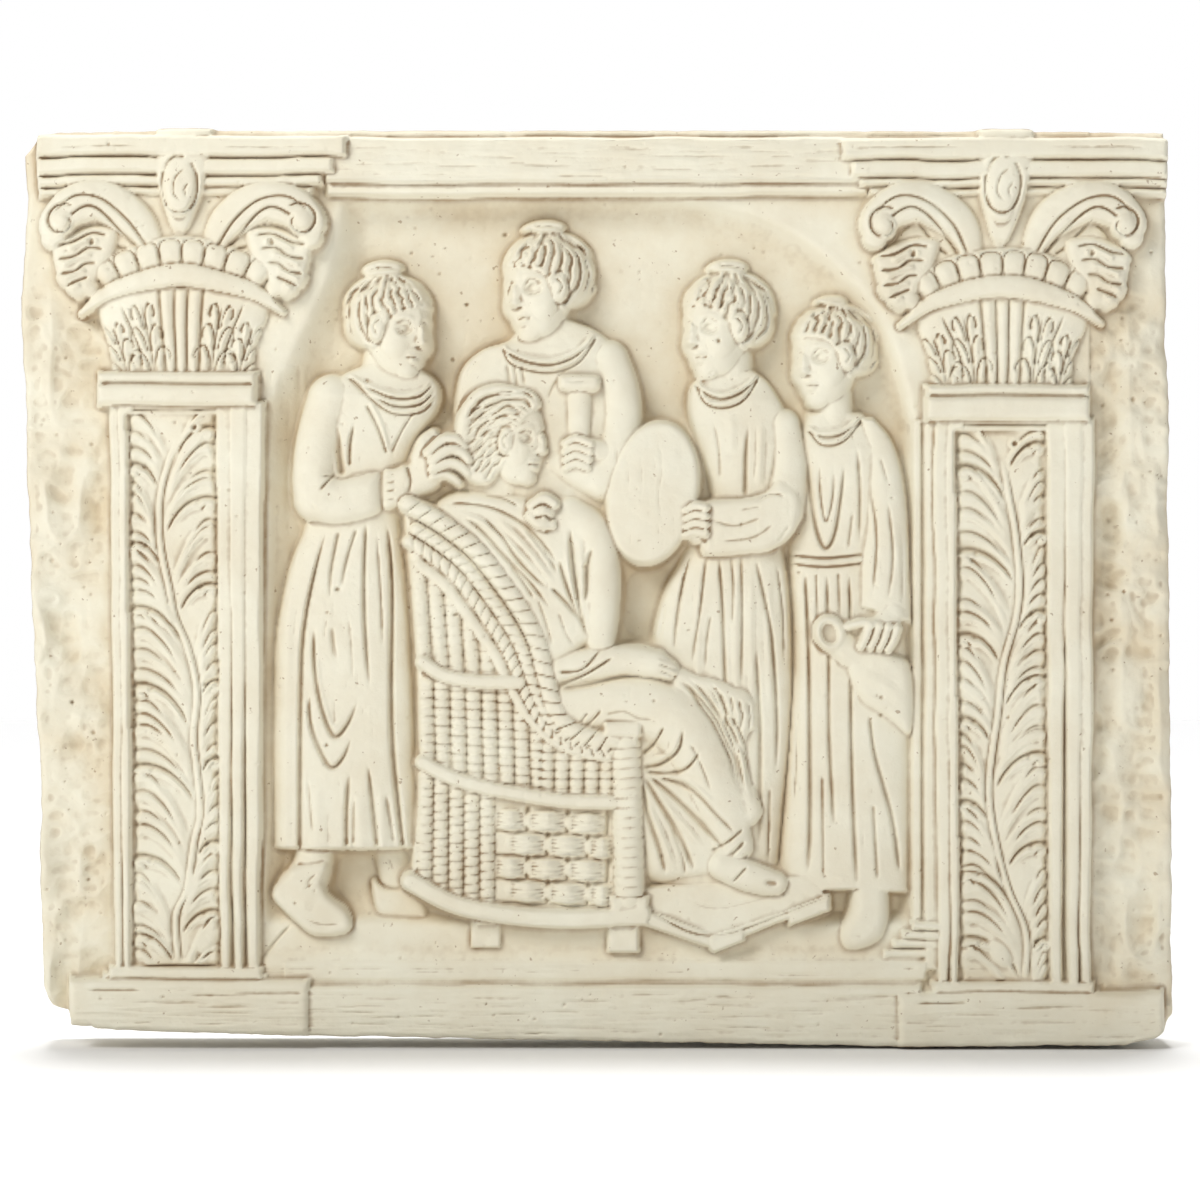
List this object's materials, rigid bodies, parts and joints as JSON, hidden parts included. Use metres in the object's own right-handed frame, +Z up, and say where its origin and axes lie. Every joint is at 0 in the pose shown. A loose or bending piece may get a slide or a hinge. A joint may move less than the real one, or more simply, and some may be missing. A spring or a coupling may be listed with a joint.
{
  "type": "relief plaque",
  "caption": "Rectangular cast plaster wall plaque: seated lady attended by maids in an arched niche between leaf-carved pillars.",
  "frame": {"origin": "middle of the flat back, in the plane of the wall", "axes": "+Z up the plaque, +Y into the wall, so the carved face looks towards -Y, +X to the viewer's right"},
  "size_m": [0.3855, 0.034, 0.3055],
  "materials": {
    "plaster": "matte cast plaster, cream, toned tan in the hollows"
  },
  "bodies": {
    "root": {"relief_plaque": "plaster"}
  },
  "joints": []
}
